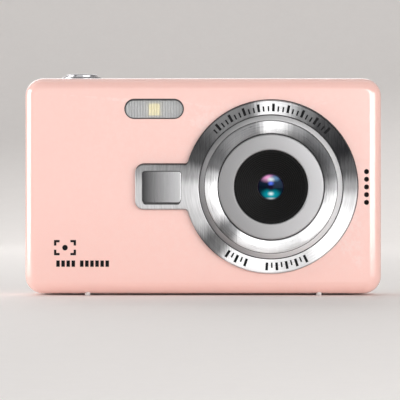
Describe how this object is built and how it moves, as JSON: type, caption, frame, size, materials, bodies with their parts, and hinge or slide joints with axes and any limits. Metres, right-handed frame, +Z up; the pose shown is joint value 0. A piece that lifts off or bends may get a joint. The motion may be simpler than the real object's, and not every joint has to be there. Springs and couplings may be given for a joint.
{
  "type": "compact digital camera",
  "caption": "Slim pink point-and-shoot digital camera with an off-centre ringed lens, flash window, top shutter button and rear display.",
  "frame": {"origin": "bottom centre of the camera's bounding box, on the surface that its feet stand on", "axes": "+X to the right seen from the front, the lens faces -Y, +Z up"},
  "size_m": [0.096, 0.0256, 0.0598],
  "materials": {
    "pink_shell": "pearl pink paint with a soft gloss",
    "frame_black": "moulded black plastic",
    "brushed_trim": "fine brushed silver",
    "step_grey": "satin grey",
    "satin_ring": "satin silver",
    "baffle_black": "fine ridged black",
    "lens_glass": "coated glass with violet and teal tints",
    "foam_seal": "closed cell foam",
    "filter_glass": "blue green filter glass",
    "sensor_silicon": "dark sensor under cover glass",
    "board_green": "solder mask over laminate",
    "flex_amber": "amber film circuit",
    "mirror_plate": "polished mirror",
    "flash_clear": "clear ribbed plastic",
    "reflector_white": "white gloss",
    "led_yellow": "yellow phosphor",
    "button_chrome": "plated silver",
    "button_silver": "satin silver",
    "steel_pin": "ground pin",
    "light_lens": "translucent green",
    "display_black": "smoked clear window",
    "display_panel": "dark display glass",
    "sheet_steel": "folded sheet steel",
    "chip_black": "moulded chip package",
    "switch_metal": "stamped metal can",
    "card_black": "fine moulded black",
    "battery_wrap": "printed film over an aluminium can",
    "gold_contact": "gold plated spring",
    "tripod_brass": "turned brass",
    "screw_steel": "nickel plated steel",
    "foot_rubber": "pale moulded plastic"
  },
  "bodies": {
    "body": {"front_cover": "pink_shell", "rear_cover": "pink_shell", "mid_frame": "frame_black", "lens_bezel": "brushed_trim", "bezel_step_ring": "step_grey", "lens_trim_ring": "brushed_trim", "lens_nose_ring": "satin_ring", "lens_baffle": "baffle_black", "front_glass": "lens_glass", "lens_barrel": "baffle_black", "rear_lens_element": "lens_glass", "lens_holder": "frame_black", "lens_seal": "foam_seal", "ir_filter": "filter_glass", "image_sensor": "sensor_silicon", "sensor_board": "board_green", "sensor_flex": "flex_amber", "front_mirror": "mirror_plate", "flash_window": "flash_clear", "flash_reflector": "reflector_white", "flash_led": "led_yellow", "flash_board": "board_green", "shutter_collar": "button_chrome", "top_board": "board_green", "zoom_pivot_pin": "steel_pin", "status_light": "light_lens", "lcd_window": "display_black", "lcd_panel": "display_panel", "lcd_frame": "sheet_steel", "lcd_flex": "flex_amber", "main_board": "board_green", "processor_chip": "chip_black", "tact_switches": "switch_metal", "usb_socket": "sheet_steel", "card_socket": "sheet_steel", "microphone": "switch_metal", "speaker": "frame_black", "battery": "battery_wrap", "battery_contacts": "gold_contact", "door_hinge_pin": "steel_pin", "tripod_socket": "tripod_brass", "strap_post": "steel_pin", "case_screws": "screw_steel", "board_screws": "screw_steel", "feet": "foot_rubber"},
    "shutter": {"shutter_button": "button_chrome"},
    "power": {"power_button": "button_chrome"},
    "zoom": {"zoom_rocker": "button_chrome"},
    "mode": {"mode_button": "button_silver"},
    "menu": {"menu_button": "button_silver"},
    "up_key": {"key_up": "button_silver"},
    "down_key": {"key_down": "button_silver"},
    "left_key": {"key_left": "button_silver"},
    "right_key": {"key_right": "button_silver"},
    "ok": {"ok_button": "button_silver"},
    "playback": {"playback_button": "button_silver"},
    "delete": {"delete_button": "button_silver"},
    "card": {"memory_card": "card_black"},
    "door": {"battery_door": "pink_shell"}
  },
  "joints": [
    {"name": "shutter_press", "type": "slide", "parent": "body", "child": "shutter", "axis": [0, 0, -1], "range_m": [0, 0.0008], "stiffness_N_per_m": 400, "springref_m": -0.0002},
    {"name": "power_press", "type": "slide", "parent": "body", "child": "power", "axis": [0, 0, -1], "range_m": [0, 0.0005], "stiffness_N_per_m": 400, "springref_m": -0.0002},
    {"name": "mode_press", "type": "slide", "parent": "body", "child": "mode", "axis": [0, -1, 0], "range_m": [0, 0.0004], "stiffness_N_per_m": 400, "springref_m": -0.0002},
    {"name": "menu_press", "type": "slide", "parent": "body", "child": "menu", "axis": [0, -1, 0], "range_m": [0, 0.0004], "stiffness_N_per_m": 400, "springref_m": -0.0002},
    {"name": "up_press", "type": "slide", "parent": "body", "child": "up_key", "axis": [0, -1, 0], "range_m": [0, 0.0004], "stiffness_N_per_m": 400, "springref_m": -0.0002},
    {"name": "down_press", "type": "slide", "parent": "body", "child": "down_key", "axis": [0, -1, 0], "range_m": [0, 0.0004], "stiffness_N_per_m": 400, "springref_m": -0.0002},
    {"name": "left_press", "type": "slide", "parent": "body", "child": "left_key", "axis": [0, -1, 0], "range_m": [0, 0.0004], "stiffness_N_per_m": 400, "springref_m": -0.0002},
    {"name": "right_press", "type": "slide", "parent": "body", "child": "right_key", "axis": [0, -1, 0], "range_m": [0, 0.0004], "stiffness_N_per_m": 400, "springref_m": -0.0002},
    {"name": "ok_press", "type": "slide", "parent": "body", "child": "ok", "axis": [0, -1, 0], "range_m": [0, 0.0004], "stiffness_N_per_m": 400, "springref_m": -0.0002},
    {"name": "playback_press", "type": "slide", "parent": "body", "child": "playback", "axis": [0, -1, 0], "range_m": [0, 0.0004], "stiffness_N_per_m": 400, "springref_m": -0.0002},
    {"name": "delete_press", "type": "slide", "parent": "body", "child": "delete", "axis": [0, -1, 0], "range_m": [0, 0.0004], "stiffness_N_per_m": 400, "springref_m": -0.0002},
    {"name": "zoom_tilt", "type": "hinge", "parent": "body", "child": "zoom", "pos_m": [-0.033, 0.00985, 0.0507], "axis": [0, 0, 1], "range_deg": [-4, 4], "stiffness_Nm_per_rad": 0.02},
    {"name": "card_slide", "type": "slide", "parent": "body", "child": "card", "axis": [1, 0, 0], "range_m": [0, 0.014]},
    {"name": "door_swing", "type": "hinge", "parent": "body", "child": "door", "pos_m": [-0.0239, 0.00305, 0.0018], "axis": [1, 0, 0], "range_deg": [0, 90]}
  ]
}
